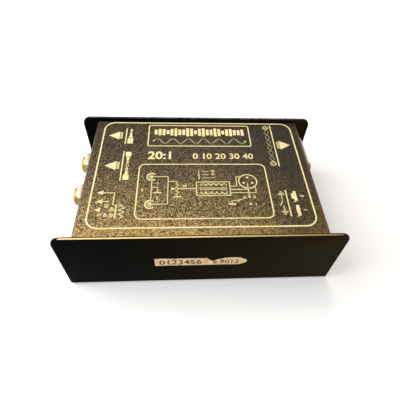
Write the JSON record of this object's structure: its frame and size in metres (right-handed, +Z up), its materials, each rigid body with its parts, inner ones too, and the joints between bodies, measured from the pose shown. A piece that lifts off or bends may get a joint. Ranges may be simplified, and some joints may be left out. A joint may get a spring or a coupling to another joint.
{
  "type": "direct injection box",
  "caption": "Passive direct injection box: steel tray with end plates, textured cover, jacks and pad switch on the left, male socket and ground-lift button on the right.",
  "frame": {"origin": "centre of the tray's underside, on the surface that the box stands on", "axes": "+X from the jack side to the three-pin socket side, along the end plates; +Y from the front end plate to the rear one; +Z up"},
  "size_m": [0.1313, 0.082, 0.04],
  "materials": {
    "chassis_paint": "satin black paint, smooth",
    "cover_paint": "black textured powder coat",
    "cover_print": "cream screen-print ink",
    "paper_label": "worn copper-coloured paper label",
    "black_screw": "black zinc-plated steel",
    "zinc_steel": "zinc-plated steel",
    "nickel": "nickel-plated brass",
    "gold_brass": "gold-coloured plated brass",
    "black_plastic": "moulded black plastic",
    "circuit_board": "green solder mask",
    "phenolic": "brown phenolic paper",
    "core_steel": "stacked silicon-steel laminations",
    "winding_tape": "copper winding under amber tape",
    "diecast_zinc": "die-cast zinc, satin nickel",
    "resistor_tan": "tan lacquer with tinned leads",
    "red_wire": "red PVC insulation",
    "black_wire": "black PVC insulation",
    "white_plastic": "white moulded plastic and PVC"
  },
  "bodies": {
    "enclosure": {"chassis_tray": "chassis_paint", "cover_shell": "cover_paint", "cover_screw_1": "black_screw", "cover_screw_2": "black_screw", "cover_screw_3": "black_screw", "cover_screw_4": "black_screw", "circuit_board": "circuit_board", "board_standoff_1": "zinc_steel", "board_standoff_2": "zinc_steel", "board_standoff_3": "zinc_steel", "board_standoff_4": "zinc_steel", "board_screw_1": "zinc_steel", "board_screw_2": "zinc_steel", "board_screw_3": "zinc_steel", "board_screw_4": "zinc_steel", "pad_resistor_1": "resistor_tan", "pad_resistor_2": "resistor_tan", "pad_resistor_3": "resistor_tan", "pad_resistor_4": "resistor_tan", "input_jack_housing": "black_plastic", "input_jack_bushing": "gold_brass", "input_jack_tip_contact": "nickel", "input_jack_collar": "black_plastic", "input_jack_washer": "nickel", "input_jack_nut": "nickel", "through_jack_housing": "black_plastic", "through_jack_bushing": "gold_brass", "through_jack_tip_contact": "nickel", "through_jack_collar": "black_plastic", "through_jack_washer": "nickel", "through_jack_nut": "nickel", "pad_switch_frame": "zinc_steel", "pad_switch_base": "phenolic", "pad_switch_screw_1": "black_screw", "pad_switch_screw_2": "black_screw", "xlr_shell": "diecast_zinc", "xlr_insert": "black_plastic", "xlr_pin_1": "nickel", "xlr_pin_2": "nickel", "xlr_pin_3": "nickel", "xlr_screw_1": "black_screw", "xlr_screw_2": "black_screw", "ground_switch_housing": "black_plastic", "ground_switch_spring": "nickel", "transformer_core": "core_steel", "transformer_bobbin": "black_plastic", "transformer_winding": "winding_tape", "transformer_clamp": "zinc_steel", "pad_wire_1": "black_wire", "pad_wire_2": "red_wire", "pad_wire_3": "white_plastic", "xlr_wire_1": "black_wire", "xlr_wire_2": "red_wire", "xlr_wire_3": "white_plastic"},
    "pad_slider": {"pad_switch_knob": "black_plastic", "pad_switch_wiper": "nickel"},
    "ground_button": {"ground_switch_plunger": "white_plastic", "ground_switch_cap": "black_plastic"}
  },
  "joints": [
    {"name": "pad_select", "type": "slide", "parent": "enclosure", "child": "pad_slider", "axis": [0, 1, 0], "range_m": [-0.003, 0.003]},
    {"name": "ground_lift_press", "type": "slide", "parent": "enclosure", "child": "ground_button", "axis": [-1, 0, 0], "range_m": [0, 0.003], "stiffness_N_per_m": 400, "deforming": ["ground_switch_spring"]}
  ]
}
